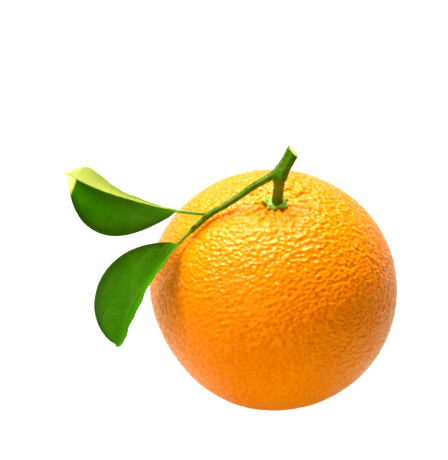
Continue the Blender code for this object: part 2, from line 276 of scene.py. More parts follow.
class Nodes:
    """A short way to write node trees: make() adds a node and sets or links its inputs."""

    def __init__(self, name):
        self.material = bpy.data.materials.new(name)
        self.material.use_nodes = True
        self.tree = self.material.node_tree
        self.shader = self.tree.nodes["Principled BSDF"]
        self.output = self.tree.nodes["Material Output"]

    def put(self, socket, value):
        if isinstance(value, bpy.types.NodeSocket):
            self.tree.links.new(value, socket)
        elif isinstance(value, tuple) and len(value) == 3 and socket.type == "RGBA":
            socket.default_value = (*value, 1.0)
        else:
            socket.default_value = value

    def make(self, kind, inputs=None, out=0, **settings):
        node = self.tree.nodes.new(kind)
        for key, value in settings.items():
            setattr(node, key, value)
        for key, value in (inputs or {}).items():
            self.put(node.inputs[key], value)
        return node.outputs[out]

    def principled(self, **inputs):
        for key, value in inputs.items():
            self.put(self.shader.inputs[key.replace("_", " ")], value)

    def place(self):
        return self.make("ShaderNodeTexCoord", out="Object")

    def value(self, name):
        return self.make("ShaderNodeAttribute", attribute_name=name, out="Fac")

    def vector(self, name):
        return self.make("ShaderNodeAttribute", attribute_name=name, out="Vector")

    def noise(self, at, scale, detail=3.0, rough=0.5):
        inputs = {"Vector": at, "Scale": scale, "Detail": detail, "Roughness": rough}
        return self.make("ShaderNodeTexNoise", inputs)

    def cells(self, at, scale, feature="F1", smooth=0.0):
        inputs = {"Vector": at, "Scale": scale}
        if feature == "SMOOTH_F1":
            inputs["Smoothness"] = smooth
        return self.make("ShaderNodeTexVoronoi", inputs, out="Distance", feature=feature)

    def math(self, operation, a, b=0.0):
        return self.make("ShaderNodeMath", {0: a, 1: b}, operation=operation)

    def times(self, a, b):
        return self.math("MULTIPLY", a, b)

    def fit(self, value, low, high, to_low=0.0, to_high=1.0):
        inputs = {"Value": value, "From Min": low, "From Max": high}
        inputs.update({"To Min": to_low, "To Max": to_high})
        return self.make("ShaderNodeMapRange", inputs, clamp=True)

    def mix(self, share, a, b):
        inputs = {0: share, 6: a, 7: b}
        return self.make("ShaderNodeMix", inputs, out=2, data_type="RGBA")

    def stretch(self, vector, by):
        return self.make("ShaderNodeVectorMath", {0: vector, 1: by}, operation="MULTIPLY")

    def bump(self, height, distance, strength=1.0, onto=None):
        inputs = {"Height": height, "Distance": distance, "Strength": strength}
        if onto is not None:
            inputs["Normal"] = onto
        return self.make("ShaderNodeBump", inputs)


PEBBLE_SQUEEZE = (1.0, 1.25, 1.5)  # pebbles are flattened from front to back and in height


def peel_material():
    n = Nodes("peel_look")
    place = n.place()
    pit = n.value("pit")
    crown = n.value("crown")
    base_end = n.value("blossom")
    relief = n.value("relief")
    broad = n.fit(n.noise(place, 28.0, 2.0), 0.35, 0.65)
    colour = n.mix(broad, (0.98, 0.192, 0.0019), (1.00, 0.240, 0.0028))
    patch = n.fit(n.noise(place, 140.0, 3.0), 0.40, 0.70)
    colour = n.mix(n.times(patch, 0.35), colour, (0.99, 0.270, 0.0050))
    speck = n.fit(n.noise(place, 1500.0, 2.0), 0.45, 0.75)
    colour = n.mix(n.times(speck, 0.08), colour, (0.85, 0.145, 0.0020))
    # Darker in the pits: partly the oil glands' own colour, partly painted shade in the hollows.
    colour = n.mix(n.times(pit, 0.34), colour, (0.66, 0.090, 0.0010))
    # Yellower towards the top: partly the peel's own colour, partly painted highlight.
    high = n.fit(relief, 0.78, 1.0, 0.0, 0.10)
    colour = n.mix(high, colour, (1.00, 0.330, 0.0150))
    # Paler round the stem: partly the peel's own colour, partly painted highlight.
    colour = n.mix(n.times(crown, 0.55), colour, (0.90, 0.330, 0.0120))
    scar = n.fit(n.noise(place, 900.0, 3.0), 0.35, 0.65)
    brown = n.mix(scar, (0.20, 0.080, 0.015), (0.42, 0.200, 0.060))
    colour = n.mix(base_end, colour, brown)
    rough = n.fit(n.noise(place, 600.0, 3.0), 0.3, 0.7, 0.22, 0.30)
    along = n.stretch(place, PEBBLE_SQUEEZE)
    pebbles = n.cells(along, 590.0, "SMOOTH_F1", 0.27)
    fine = n.noise(along, 1300.0, 3.0, 0.6)
    normal = n.bump(pebbles, 0.00060, relief)
    normal = n.bump(fine, 0.00015, 0.6, normal)
    n.principled(Base_Color=colour, Roughness=rough, IOR=1.45, Normal=normal)
    n.principled(Subsurface_Weight=0.10, Subsurface_Scale=0.0010)
    n.shader.inputs["Subsurface Radius"].default_value = (1.0, 0.35, 0.08)
    n.principled(Specular_IOR_Level=0.33, Sheen_Weight=0.03, Sheen_Roughness=0.35)
    return n.material


def leaf_material():
    n = Nodes("leaf_look")
    at = n.vector("leaf_at")
    upper = n.value("leaf_upper")
    vein = n.value("leaf_vein")
    edge = n.value("leaf_edge")
    painted_shade = n.value("leaf_painted_shade")
    painted_glow = n.value("leaf_painted_glow")
    base_highlight = n.value("leaf_base_highlight")
    place = n.place()
    tone = n.fit(n.noise(at, 90.0, 3.0), 0.35, 0.70)
    top = n.mix(tone, (0.022, 0.230, 0.0015), (0.065, 0.380, 0.0040))
    mesh_veins = n.fit(n.cells(at, 900.0, "DISTANCE_TO_EDGE"), 0.0, 0.12)
    net = n.times(n.math("SUBTRACT", 1.0, mesh_veins), 0.35)
    top = n.mix(net, top, (0.070, 0.380, 0.0060))
    top = n.mix(n.times(vein, 0.25), top, (0.130, 0.460, 0.0150))
    # Painted highlight: pale streaks near the blade's base stand in for its glossy gleam there.
    highlight_streaks = n.fit(n.noise(n.stretch(at, (90.0, 1100.0, 1.0)), 1.0, 3.0), 0.42, 0.62)
    top = n.mix(n.times(n.times(highlight_streaks, base_highlight), 0.75), top, (0.200, 0.500, 0.060))
    # Painted highlight: paler streaks and gleams across the blade stand in for its gloss.
    streak_highlight = n.fit(n.noise(n.stretch(at, (60.0, 240.0, 1.0)), 1.0, 2.0), 0.54, 0.70)
    top = n.mix(n.times(streak_highlight, 0.55), top, (0.150, 0.430, 0.060))
    gleam = n.fit(n.noise(n.stretch(at, (75.0, 150.0, 1.0)), 1.0, 2.0), 0.55, 0.68)
    top = n.mix(n.times(gleam, 0.5), top, (0.150, 0.370, 0.080))
    # Painted shade: the broad half is darker near the fold, a painted shadow of the standing half,
    # and darker towards its margin.
    top = n.mix(n.times(painted_shade, 0.85), top, (0.004, 0.100, 0.0012))
    under = n.mix(tone, (0.120, 0.290, 0.030), (0.180, 0.380, 0.050))
    under = n.mix(n.times(vein, 0.6), under, (0.300, 0.480, 0.090))
    colour = n.mix(upper, under, top)
    # Painted glow: the upper leaf's standing half and its tip are painted pale yellow-green, for
    # light shining through the leaf and glare off it.
    light = n.mix(n.fit(painted_glow, 0.5, 1.0), (0.840, 0.930, 0.240), (1.000, 0.990, 0.500))
    light = n.mix(n.times(tone, 0.3), light, (0.760, 0.900, 0.220))
    light = n.mix(n.times(net, 0.6), light, (0.740, 0.860, 0.200))
    light = n.mix(upper, (0.420, 0.640, 0.140), light)
    colour = n.mix(n.fit(painted_glow, 0.0, 0.4), colour, light)
    colour = n.mix(n.times(edge, 0.4), colour, (0.020, 0.090, 0.0020))
    rough = n.fit(upper, 0.0, 1.0, 0.55, 0.28)
    grain_fine = n.noise(place, 2200.0, 2.0)
    normal = n.bump(mesh_veins, 0.00003, 0.5)
    normal = n.bump(grain_fine, 0.00003, 0.4, normal)
    n.principled(Base_Color=colour, Roughness=rough, IOR=1.45, Normal=normal)
    # less light comes through where the shade is painted
    through = n.mix(painted_shade, (0.110, 0.320, 0.015), (0.020, 0.120, 0.008))
    # the light through the leaf is near white where the glow is painted
    through = n.mix(painted_glow, through, (1.000, 0.980, 0.400))
    glow = n.make("ShaderNodeBsdfTranslucent", {"Color": through})
    mixed = n.make("ShaderNodeMixShader", {0: 0.42, 1: n.shader.outputs[0], 2: glow})
    n.put(n.output.inputs["Surface"], mixed)
    return n.material


def bark_material():
    n = Nodes("bark_look")
    at = n.vector("bark_at")
    brown = n.value("bark_brown_and_shade")
    ridge_highlight = n.value("bark_ridge_highlight")
    cut = n.value("bark_cut")
    heart = n.value("bark_heart")
    streaks = n.noise(n.stretch(at, (260.0, 1.4, 1.0)), 1.0, 4.0, 0.6)
    tone = n.fit(streaks, 0.35, 0.68)
    green = n.mix(tone, (0.016, 0.078, 0.001), (0.075, 0.195, 0.005))
    # Painted highlight and shade: ridge crests lighter than the furrows between them.
    green = n.mix(n.times(ridge_highlight, 0.5), green, (0.140, 0.260, 0.016))
    flecks = n.fit(n.noise(n.stretch(at, (900.0, 5.0, 1.0)), 1.0, 2.0), 0.62, 0.72)
    green = n.mix(n.times(flecks, 0.5), green, (0.200, 0.230, 0.050))
    olive = n.mix(tone, (0.110, 0.060, 0.012), (0.230, 0.150, 0.022))
    # brown: the bark's own browning, and on the pedicel's lower right side also painted shade
    colour = n.mix(brown, green, olive)
    wood = n.mix(n.fit(heart, 0.0, 0.8), (0.350, 0.370, 0.080), (0.570, 0.500, 0.200))
    core = n.fit(heart, 0.78, 0.92)
    wood = n.mix(core, wood, (0.440, 0.360, 0.140))
    colour = n.mix(cut, colour, wood)
    rough = n.fit(tone, 0.0, 1.0, 0.42, 0.58)
    normal = n.bump(streaks, 0.00030, 0.9)
    n.principled(Base_Color=colour, Roughness=rough, IOR=1.45, Normal=normal)
    n.principled(Subsurface_Weight=0.10, Subsurface_Scale=0.0006, Specular_IOR_Level=0.30)
    return n.material


def calyx_material():
    n = Nodes("calyx_look")
    place = n.place()
    rim = n.value("calyx_rim")
    seat_shade = n.value("calyx_seat_shade")
    blotch = n.fit(n.noise(place, 420.0, 4.0, 0.6), 0.38, 0.62)
    colour = n.mix(blotch, (0.050, 0.180, 0.004), (0.210, 0.370, 0.020))
    # Pale patches: partly dried sepal, partly painted highlight.
    dry_and_highlight = n.fit(n.noise(place, 700.0, 3.0), 0.48, 0.60)
    colour = n.mix(n.times(dry_and_highlight, 0.75), colour, (0.470, 0.550, 0.120))
    colour = n.mix(n.times(rim, 0.60), colour, (0.140, 0.110, 0.025))
    # Painted shade: a dark ring on the calyx round the foot of the stem.
    colour = n.mix(n.times(seat_shade, 0.75), colour, (0.045, 0.060, 0.008))
    rough = n.fit(blotch, 0.0, 1.0, 0.5, 0.65)
    normal = n.bump(n.noise(place, 1400.0, 4.0, 0.65), 0.00025, 0.9)
    n.principled(Base_Color=colour, Roughness=rough, IOR=1.45, Normal=normal)
    n.principled(Subsurface_Weight=0.10, Subsurface_Scale=0.0005, Specular_IOR_Level=0.30)
    return n.material


FLOOR_WHITE = 0.97  # what the camera sees, and what the peel mirrors behind and beside the fruit
FLOOR_GLOW = 0.53  # light that the floor gives to the fruit's sides
FRONT_GLOW = 0.80  # the same in front of the fruit
SHADED_FLOOR = 0.12  # what the peel mirrors in the shade under its front
SHADE_MIDDLE = (5.0 * MM, -38.0 * MM, 0.0)
SHADE_NEAR, SHADE_FAR = 18.0 * MM, 45.0 * MM
FRONT_START, FRONT_END = -110.0 * MM, -20.0 * MM
GLOW_NEAR, GLOW_FAR = 20.0 * MM, 120.0 * MM


def floor_material():
    """White to the eye. It lights the fruit from below more weakly, as a shaded table does."""
    n = Nodes("floor_look")
    place = n.place()
    cloud = n.fit(n.noise(place, 3.0, 2.0), 0.3, 0.7)
    colour = n.mix(cloud, (0.10, 0.10, 0.10), (0.12, 0.12, 0.12))
    seen = n.make("ShaderNodeLightPath", out="Is Camera Ray")
    mirrored = n.make("ShaderNodeLightPath", out="Is Glossy Ray")
    across = n.make("ShaderNodeSeparateXYZ", {0: place}, out=1)
    behind = n.fit(across, FRONT_START, FRONT_END, SHADED_FLOOR, FLOOR_WHITE)
    ahead = n.make(
        "ShaderNodeVectorMath", {0: place, 1: SHADE_MIDDLE}, out=1, operation="DISTANCE"
    )
    beside = n.fit(ahead, SHADE_NEAR, SHADE_FAR, SHADED_FLOOR, FLOOR_WHITE)
    behind = n.math("MINIMUM", behind, beside)
    near = n.fit(ahead, GLOW_NEAR, GLOW_FAR, FRONT_GLOW, FLOOR_GLOW)
    glow = n.math("ADD", near, n.times(mirrored, n.math("SUBTRACT", behind, near)))
    n.principled(Base_Color=colour, Roughness=0.9, Emission_Color=(1.0, 1.0, 1.0, 1.0))
    n.principled(Emission_Strength=n.math("MAXIMUM", glow, n.times(seen, FLOOR_WHITE)))
    return n.material


# ---- The fruit ----

CUBE_STEPS = 126  # quads along each side of the six faces that are blown up into the fruit
PIT_COUNT = 7600
PIT_RADIUS = 0.42 * MM
PIT_DEPTH = 0.21 * MM
PEBBLE_SIZE = 1.28 * MM
PEBBLE_HEIGHT = 0.21 * MM
PEBBLED_MIDDLE = 0.86  # share of the pits' and pebbles' height at the fruit's widest line
PEBBLED_TOP = 0.24  # what is added at the stem end and taken off at the blossom end
FINE_MIDDLE, FINE_TOP = 0.64, 0.42  # the same two for the finest relief, in the material; they also set how far the upper part is tinted yellower, partly painted highlight
SWELL_SIZE = 13.0 * MM
SWELL_HEIGHT = 0.16 * MM
SMALL_SWELL_SIZE, SMALL_SWELL_SHARE = 0.4, 0.35  # a second, smaller swell, as shares of the first
FURROWS = 13
FURROW_DEPTH = 0.80 * MM
FURROW_MIDDLE = 7.0 * MM  # distance from the stem where the furrows are deepest
FURROW_REACH = 5.2 * MM
WANDER_SIZE = 5.0 * MM
CREASE_DEPTH = 0.50 * MM
CREASE_WIDTH = 1.2 * MM
CREASE_LENGTH = 4.0 * MM
CREASES = [(25, 9.5), (-48, 7.0), (158, 8.0), (100, 8.5)]  # azimuth and middle's distance in mm
SCAR_RADIUS = 2.2 * MM
SCAR_RIM_HEIGHT = 0.25 * MM
SCAR_RIM_WIDTH = 0.5 * MM
CROWN_RADIUS = 7.5 * MM  # round the stem, where the peel is painted paler: partly its own colour, partly painted highlight


def cube_sphere(steps):
    """Unit vectors and quads of a cube blown up into a ball, evenly spread."""
    turn = np.tan((np.arange(steps + 1) / steps * 2 - 1) * pi / 4)
    one, two = np.meshgrid(turn, turn, indexing="ij")
    ones = np.ones_like(one)
    sides = [
        (ones, one, two),
        (-ones, two, one),
        (two, ones, one),
        (one, -ones, two),
        (one, two, ones),
        (two, one, -ones),
    ]
    index, ways, faces = {}, [], []
    for side in sides:
        grid = np.stack(side, axis=-1).reshape(-1, 3)
        grid = grid / np.linalg.norm(grid, axis=1)[:, None]
        numbers = []
        for way in grid:
            key = tuple(np.round(way, 6))
            if key not in index:
                index[key] = len(ways)
                ways.append(way)
            numbers.append(index[key])
        for i in range(steps):
            for k in range(steps):
                a = i * (steps + 1) + k
                b = a + steps + 1
                faces.append((numbers[a], numbers[b], numbers[b + 1], numbers[a + 1]))
    return np.array(ways), faces


def pit_directions():
    """Scattered oil-gland pits: an even spiral, each pit moved by a random step."""
    rng = np.random.default_rng(7)
    order = np.arange(PIT_COUNT) + 0.5
    z = 1 - 2 * order / PIT_COUNT
    turn = order * pi * (1 + sqrt(5))
    flat = np.sqrt(1 - z * z)
    ways = np.stack([flat * np.cos(turn), flat * np.sin(turn), z], axis=1)
    ways += rng.normal(0, 0.35, ways.shape) * sqrt(4 * pi / PIT_COUNT)
    return ways / np.linalg.norm(ways, axis=1)[:, None], rng.uniform(0.35, 1.25, PIT_COUNT)


def make_fruit(material):
    ways, faces = cube_sphere(CUBE_STEPS)
    smooth = peel_points(ways)
    pits, sizes = pit_directions()
    pit_places = peel_points(pits)
    tree = kdtree.KDTree(len(pits))
    for i, place in enumerate(pit_places):
        tree.insert(place, i)
    tree.balance()
    lift = np.zeros(len(ways))
    pitted = np.zeros(len(ways))
    for v, place in enumerate(smooth):
        dip, shade = 0.0, 0.0
        for _, i, away in tree.find_n(place, 3):
            width = PIT_RADIUS * (0.7 + 0.4 * sizes[i])
            near = exp(-((away / width) ** 2))
            dip += PIT_DEPTH * sizes[i] * near
            shade = max(shade, near * sizes[i])
        swell = grain(place, SWELL_SIZE, 4.0) * SWELL_HEIGHT
        small = grain(place, SWELL_SIZE * SMALL_SWELL_SIZE, 9.0)
        swell += small * SWELL_HEIGHT * SMALL_SWELL_SHARE
        pebble = grain(place * np.array(PEBBLE_SQUEEZE), PEBBLE_SIZE, 2.0) * PEBBLE_HEIGHT
        relief = PEBBLED_MIDDLE + PEBBLED_TOP * ways[v, 2]
        lift[v] = swell + (pebble - dip) * relief
        pitted[v] = min(1.0, shade)
    reach = np.hypot(smooth[:, 0], smooth[:, 1])
    azimuth = np.arctan2(smooth[:, 1], smooth[:, 0])
    top = ways[:, 2] > 0
    wander = np.array([grain((p[0], p[1], 0), WANDER_SIZE, 6.0) for p in smooth])
    furrow = 0.5 + 0.5 * np.cos(FURROWS * azimuth + 2.4 * wander + 0.5 * np.sin(3 * azimuth))
    fade = np.exp(-(((reach - FURROW_MIDDLE) / FURROW_REACH) ** 2))
    lift -= np.where(top, FURROW_DEPTH * furrow**3 * fade, 0)
    for turn, middle in CREASES:
        aside = np.sin(azimuth - radians(turn) + 0.10 * wander) * reach / CREASE_WIDTH
        ahead = (np.cos(azimuth - radians(turn)) * reach - middle * MM) / CREASE_LENGTH
        lift -= np.where(top, CREASE_DEPTH * np.exp(-(aside**2) - ahead**4), 0)
    scar = np.where(top, 0, np.exp(-((reach / SCAR_RADIUS) ** 4)))
    scar_rim = np.exp(-(((reach - SCAR_RADIUS) / SCAR_RIM_WIDTH) ** 2))
    lift += np.where(top, 0, SCAR_RIM_HEIGHT * scar_rim)
    normal = smooth - np.array([0, 0, MIDDLE_HEIGHT])
    normal = normal / np.array([HALF_WIDTH**2, HALF_WIDTH**2, HALF_HEIGHT**2])
    normal /= np.linalg.norm(normal, axis=1)[:, None]
    points = smooth + normal * lift[:, None]
    points[:, 2] = np.maximum(points[:, 2], 0.0)
    crown = np.where(top, np.exp(-((reach / CROWN_RADIUS) ** 2)), 0)
    # relief also sets the upper part's yellower tint, partly painted highlight
    relief = np.clip(FINE_MIDDLE + FINE_TOP * ways[:, 2], 0.0, 1.0)
    floats = {"pit": pitted, "crown": crown, "blossom": scar, "relief": relief}
    return add_mesh("orange_fruit", points, faces, material, "fruit", floats)


# ---- Calyx ----


CALYX_CURL_AZIMUTH = 1.12 * pi
CALYX_CURL_BREADTH = 0.5
CALYX_CURL_HEIGHT = 3.0 * MM
CALYX_ROUGHNESS = 0.14 * MM
CALYX_GROOVE = 0.22 * MM
CALYX_SEAT = 0.05 * MM  # how far its underside stays off the peel
CALYX_EDGE = 0.06 * MM
CALYX_RINGS = 34
CALYX_RING_SIZE = 150


def calyx_radius(azimuth):
    notch = (0.5 - 0.5 * cos(CALYX_LOBES * (azimuth - pi))) ** 2
    shorter = 1 - (1 - CALYX_BACK_SHARE) * max(0.0, sin(azimuth)) ** 2
    uneven = 1 - 0.06 * (0.5 + 0.5 * sin(3 * azimuth + 0.8)) - 0.05 * sin(13 * azimuth)
    return CALYX_DIAMETER / 2 * (1 - CALYX_NOTCH * notch) * shorter * uneven


def calyx_top():
    return peel_height(0, 0) + GAP + CALYX_THICKNESS


def make_calyx(material):
    """A star of five rough lobes. One lobe curls up off the peel."""
    size, steps = CALYX_RING_SIZE, CALYX_RINGS
    rings, rims, seat_shades = [], [], []
    for layer in (0, 1):
        for r in range(steps + 1):
            share = r / steps
            share = share if layer == 0 else 1 - share
            for i in range(size):
                azimuth = 2 * pi * i / size
                reach = max(share, 0.004) * calyx_radius(azimuth)
                x, y = reach * cos(azimuth), reach * sin(azimuth)
                floor = peel_height(x, y) + CALYX_SEAT
                lobe = 0.5 + 0.5 * cos(CALYX_LOBES * (azimuth - pi))
                curl = exp(-(((azimuth - CALYX_CURL_AZIMUTH) / CALYX_CURL_BREADTH) ** 2))
                floor += curl * max(0.0, share - 0.45) ** 1.5 * CALYX_CURL_HEIGHT
                thick = CALYX_THICKNESS * sqrt(max(0.0, 1 - share**5))
                thick *= 0.62 + 0.38 * (1 - share)
                rough = grain((x, y, 1.0), 0.8 * MM, 3.0) * CALYX_ROUGHNESS * (1 - share**6)
                groove = CALYX_GROOVE * (1 - lobe) ** 3
                groove *= min(1.0, share * 1.8) * (1 - share**3)
                height = floor
                if layer == 0:
                    height = floor + max(CALYX_EDGE, thick + rough - groove)
                rings.append((x, y, height))
                rims.append(max(0.0, (share - 0.84) / 0.16) ** 2)
                off = Vector((x - PEDICEL_OFFSET, y)).length
                # painted shade round the foot of the stem
                seat_shades.append(exp(-(((off - PEDICEL_DIAMETER / 2) / (0.35 * MM)) ** 2)))
    count = 2 * (steps + 1)
    faces = ring_faces(count, size)
    faces.append(tuple(range(size))[::-1])
    faces.append(tuple(range((count - 1) * size, count * size)))
    floats = {"calyx_rim": rims, "calyx_seat_shade": seat_shades}
    return add_mesh("orange_calyx", rings, faces, material, "calyx", floats)


# ---- Stem and twig ----


STEM_SINK = 0.8 * MM  # how far the visible stem reaches down into the calyx
STEM_STEPS, STEM_RING = 26, 96
STEM_RIDGE = 0.19 * MM
STEM_COLLAR = 0.24 * MM
STEM_SHOULDER = 0.45 * MM
COARSE_GRAIN, COARSE_GRAIN_SIZE = 0.20 * MM, 1.6 * MM
FINE_GRAIN, FINE_GRAIN_SIZE = 0.09 * MM, 0.6 * MM
CUT_GRAIN = 0.07 * MM
CUT_HOLLOW = 0.10 * MM
CUT_RINGS = (0.97, 0.95, 0.86, 0.72, 0.56, 0.40, 0.26, 0.14, 0.05)
CUT_BARK = 0.96  # share of the cut face outside which it is still bark
TWIG_STEPS, TWIG_RING = 22, 64
TWIG_RIDGE = 0.12 * MM
TWIG_GRAIN, TWIG_GRAIN_SIZE = 0.11 * MM, 1.3 * MM
TWIG_COLLAR = 0.10 * MM
TWIG_SWELL = 0.14 * MM


def stem_base():
    return Vector((PEDICEL_OFFSET, 0, calyx_top() + GAP))


def stem_node():
    return stem_base() + PEDICEL_DIRECTION * PEDICEL_LENGTH


def twig_points():
    over = [above_peel(radians(az), radians(po), height) for az, po, height in TWIG_ROUTE]
    root = stem_node() + CUT_END_DIRECTION * TWIG_RISE
    way = (over[0] - root).normalized()
    stem = [stem_base(), stem_node(), stem_node() + CUT_END_DIRECTION * CUT_END_LENGTH]
    start = stand_off(root, way, TWIG_START_DIAMETER / 2, stem, NODE_DIAMETER / 2)
    return [start] + over


def twig_diameter(index):
    share = index / len(TWIG_ROUTE)
    return TWIG_START_DIAMETER + (TWIG_END_DIAMETER - TWIG_START_DIAMETER) * share


def bark_rings(route, radii, size, shape):
    """Rings round a route. shape(distance, angle, point) gives a height and the looks."""
    places, at, looks = [], [], []
    gone = 0.0
    before = route[0]
    for (point, _, side, up), radius in zip(carried_frames(route), radii):
        gone += (point - before).length
        before = point
        for i in range(size):
            angle = 2 * pi * i / size
            out = side * cos(angle) + up * sin(angle)
            height, look = shape(gone, angle, point + out * radius)
            places.append(point + out * (radius + height))
            at.append((gone, radius * 2 * sin(angle / 2), radius * cos(angle)))
            looks.append(look)
    return places, at, looks


def bark_piece(name, places, at, looks, size, material, node):
    """Closes a row of rings into a piece of bark."""
    count = len(places) // size
    faces = ring_faces(count, size)
    faces.append(tuple(range(size))[::-1])
    faces.append(tuple(range((count - 1) * size, count * size)))
    keys = ("bark_brown_and_shade", "bark_ridge_highlight", "bark_cut", "bark_heart")
    floats = {key: [look[i] for look in looks] for i, key in enumerate(keys)}
    return add_mesh(name, places, faces, material, node, floats, {"bark_at": at})


def make_stem(material):
    base, node = stem_base(), stem_node()
    end = node + CUT_END_DIRECTION * CUT_END_LENGTH
    points = [
        (base - PEDICEL_DIRECTION * STEM_SINK, PEDICEL_DIAMETER * 1.02),
        (base.lerp(node, 0.35), PEDICEL_DIAMETER * 0.99),
        (base.lerp(node, 0.70), PEDICEL_DIAMETER * PEDICEL_FLARE),
        (node, NODE_DIAMETER),
        (node.lerp(end, 0.35), CUT_END_DIAMETER * 1.03),
        (node.lerp(end, 0.70), CUT_END_DIAMETER),
        (end + CUT_END_DIRECTION * CUT_END_DIAMETER, CUT_END_DIAMETER),
    ]
    steps, size = STEM_STEPS, STEM_RING
    route = smooth_route([point for point, _ in points], steps)
    radii = [d / 2 for d in spread([d for _, d in points], steps)]
    node_at = PEDICEL_LENGTH + STEM_SINK
    twig_way = (twig_points()[1] - node).normalized()

    def shape(gone, angle, skin):
        collar = STEM_COLLAR * exp(-(((gone - node_at + 0.9 * MM) / (0.55 * MM)) ** 2))
        above = 1 / (1 + exp(-(gone - node_at + 1.0 * MM) / (0.25 * MM)))
        ridges = cos(6 * angle + 0.7 + gone / (9 * MM)) * 0.5 + cos(3 * angle + 1.3) * 0.3
        ridge_highlight = max(0.0, ridges)
        height = ridges * STEM_RIDGE * (0.45 + 0.55 * above) + collar
        height += grain(skin, COARSE_GRAIN_SIZE, 5.0) * COARSE_GRAIN
        height += grain(skin, FINE_GRAIN_SIZE, 8.0) * FINE_GRAIN
        facing = (skin - node).normalized().dot(twig_way)
        shoulder = exp(-(((gone - node_at - 1.2 * MM) / (1.6 * MM)) ** 2)) * max(0.0, facing) ** 2
        height += STEM_SHOULDER * shoulder
        # Browner on the pedicel's lower right side, away from the lamps: partly its own browning,
        # partly painted shade.
        low = 1 - above
        right = 0.5 + 0.5 * Vector((1.0, -0.2, 0.0)).dot((skin - base).normalized())
        brown = low * (0.05 + 0.95 * max(0.0, right) ** 1.5)
        brown *= 0.8 + 0.4 * grain(skin, 2 * MM, 1.0)
        crease = exp(-(((gone - node_at + 1.7 * MM) / (0.28 * MM)) ** 2))
        return height, (min(1.0, max(0.0, brown + 0.6 * crease)), ridge_highlight * above, 0.0, 0.0)

    places, at, looks = bark_rings(route, radii, size, shape)
    for i, place in enumerate(places):
        past = (place - end).dot(CUT_FACE_NORMAL)
        if past > 0:
            places[i] = place - CUT_END_DIRECTION * (past / CUT_END_DIRECTION.dot(CUT_FACE_NORMAL))
    rim = places[-size:]
    middle = sum(rim, Vector()) / size
    rim_at, rim_look = at[-size:], looks[-size:]
    for share in CUT_RINGS:
        for i, place in enumerate(rim):
            flat = middle.lerp(place, share)
            rough = grain(flat, 0.5 * MM, 2.0) * CUT_GRAIN - CUT_HOLLOW * (1 - share) ** 2
            places.append(flat + CUT_FACE_NORMAL * rough)
            at.append(rim_at[i])
            cut = 0.0 if share > CUT_BARK else 1.0
            looks.append((rim_look[i][0], rim_look[i][1], cut, 1 - share))
    return bark_piece("orange_stem", places, at, looks, size, material, "fruit_stem")


def make_twig(material):
    points = twig_points()
    node = stem_node() + CUT_END_DIRECTION * TWIG_RISE
    inner = points[0].lerp(node, 0.8)
    steps, size = TWIG_STEPS, TWIG_RING
    tail = (points[-1] - points[-2]).normalized()
    line = [inner] + points + [points[-1] + tail * 0.5 * MM]
    diameters = [TWIG_START_DIAMETER * 1.25] + [twig_diameter(i) for i in range(len(points))]
    diameters += [PETIOLE_DIAMETER * 1.1]
    route = smooth_route(line, steps)
    radii = [d / 2 for d in spread(diameters, steps)]
    joint = (points[0] - inner).length
    leaf_place = points[UPPER_LEAF_NODE + 1]

    def shape(gone, angle, skin):
        ridges = cos(4 * angle + 0.4) * 0.55 + cos(7 * angle + 1.1) * 0.25
        height = ridges * TWIG_RIDGE + grain(skin, TWIG_GRAIN_SIZE, 7.0) * TWIG_GRAIN
        ring = exp(-(((gone - joint - 0.5 * MM) / (0.30 * MM)) ** 2))
        height += TWIG_COLLAR * ring
        swell = exp(-(((skin - leaf_place).length / (2.0 * MM)) ** 2))
        height += TWIG_SWELL * swell
        brown = 0.9 * ring + 0.25 * max(0.0, grain(skin, 3 * MM, 2.0))
        return height, (min(1.0, brown), max(0.0, ridges), 0.0, 0.0)

    places, at, looks = bark_rings(route, radii, size, shape)
    return bark_piece("orange_twig", places, at, looks, size, material, "side_twig")


# ---- Buds ----


def bud_seat(at, way):
    place = twig_points()[at]
    lift = place - Vector((0, 0, MIDDLE_HEIGHT))
    out = (lift - way * lift.dot(way)).normalized()
    out = Matrix.Rotation(BUD_TURN, 3, way) @ out
    return place + out * (twig_diameter(at) / 2 + BUD_WIDTH / 2 * 0.6)


def upper_bud_pose():
    points = twig_points()
    at = UPPER_LEAF_NODE + 1
    way = (points[at + 1] - points[at]).normalized()
    return bud_seat(at, way) + way * BUD_LENGTH / 2, way


def lower_bud_pose():
    points = twig_points()
    at = len(points) - 1
    way = (points[at] - points[at - 1]).normalized()
    return bud_seat(at, way) - way * BUD_LENGTH, way


def make_bud(name, node, pose, material):
    """A pointed bud with two overlapping scales, half sunk in its axil."""
    base, way = pose
    turn = way.to_track_quat("Z", "Y").to_matrix()
    size, steps = 32, 26
    places, at, looks = [], [], []
    for r in range(steps + 1):
        share = r / steps
        swell = sin(pi * min(1.0, share * 0.93 + 0.05)) ** 0.7 * (1 - 0.45 * share)
        for i in range(size):
            angle = 2 * pi * i / size
            scale_edge = 0.46 + 0.18 * cos(2 * angle)
            step = 0.07 / (1 + exp((share - scale_edge) * 60))
            width = BUD_WIDTH / 2 * (swell + step + 0.02) * (1 + 0.05 * cos(5 * angle))
            spot = Vector((cos(angle) * width, sin(angle) * width, share * BUD_LENGTH))
            places.append(base + turn @ spot)
            at.append((share * BUD_LENGTH, width * sin(angle / 2), width * cos(angle)))
            looks.append((0.35 + 0.4 * exp(-(((share - scale_edge) / 0.06) ** 2)), 0.0, 0.0, 0.0))
    return bark_piece(name, places, at, looks, size, material, node)


# ---- Leaves ----

